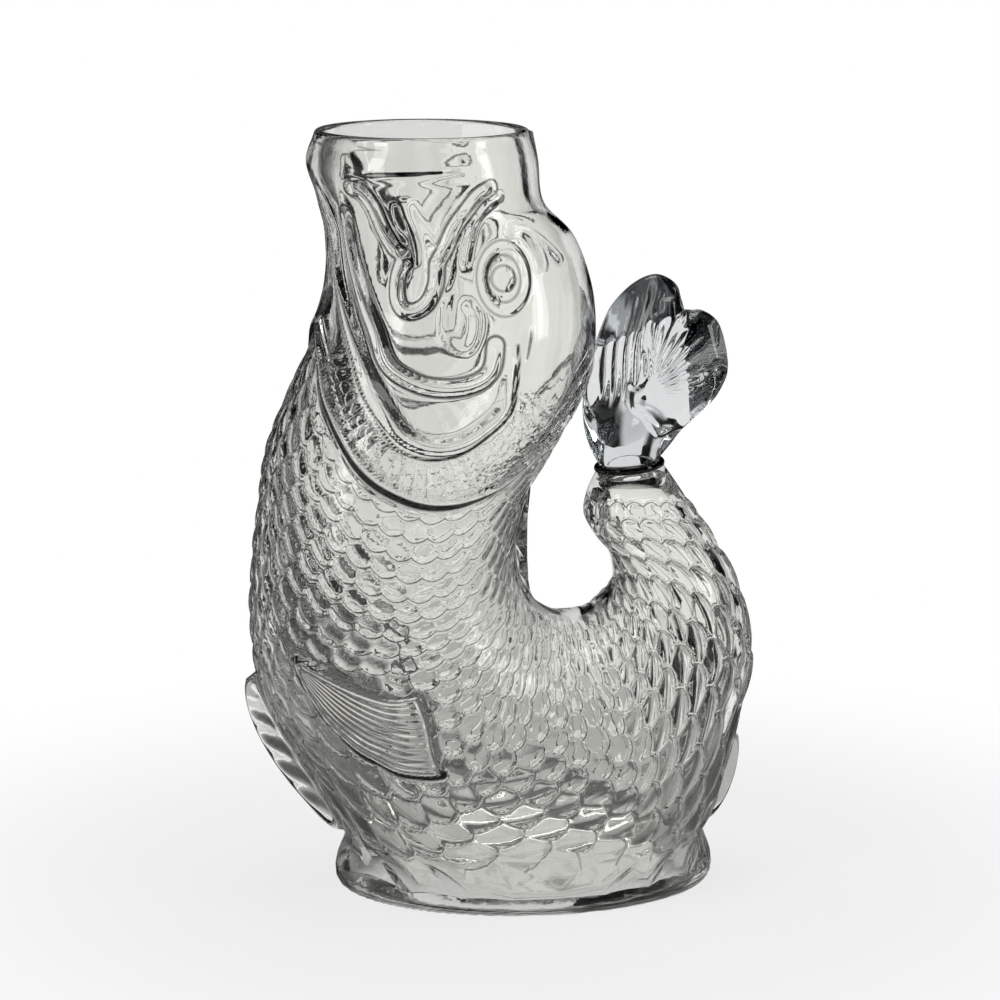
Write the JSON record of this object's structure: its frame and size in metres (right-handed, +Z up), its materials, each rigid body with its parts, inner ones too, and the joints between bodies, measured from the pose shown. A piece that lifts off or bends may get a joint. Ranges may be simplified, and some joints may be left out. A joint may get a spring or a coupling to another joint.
{
  "type": "gurgle jug",
  "caption": "Clear glass pouring jug blown in the shape of a standing fish, open at the mouth, with a hollow tail curled back as the handle and a smoky blue-grey glass tail fin.",
  "frame": {"origin": "middle of the oval foot, on the flat underside that the jug stands on", "axes": "+Z up to the mouth, +X from the fish's belly towards the curled tail, +Y across the fish, so the fish is symmetric about the XZ plane"},
  "size_m": [0.169, 0.098, 0.25],
  "materials": {
    "clear_glass": "fire-polished clear glass with moulded relief",
    "smoky_glass": "pressed smoky blue-grey glass, fire-polished"
  },
  "bodies": {
    "root": {"body": "clear_glass", "tail_bead": "clear_glass", "tail_fin": "smoky_glass"}
  },
  "joints": []
}
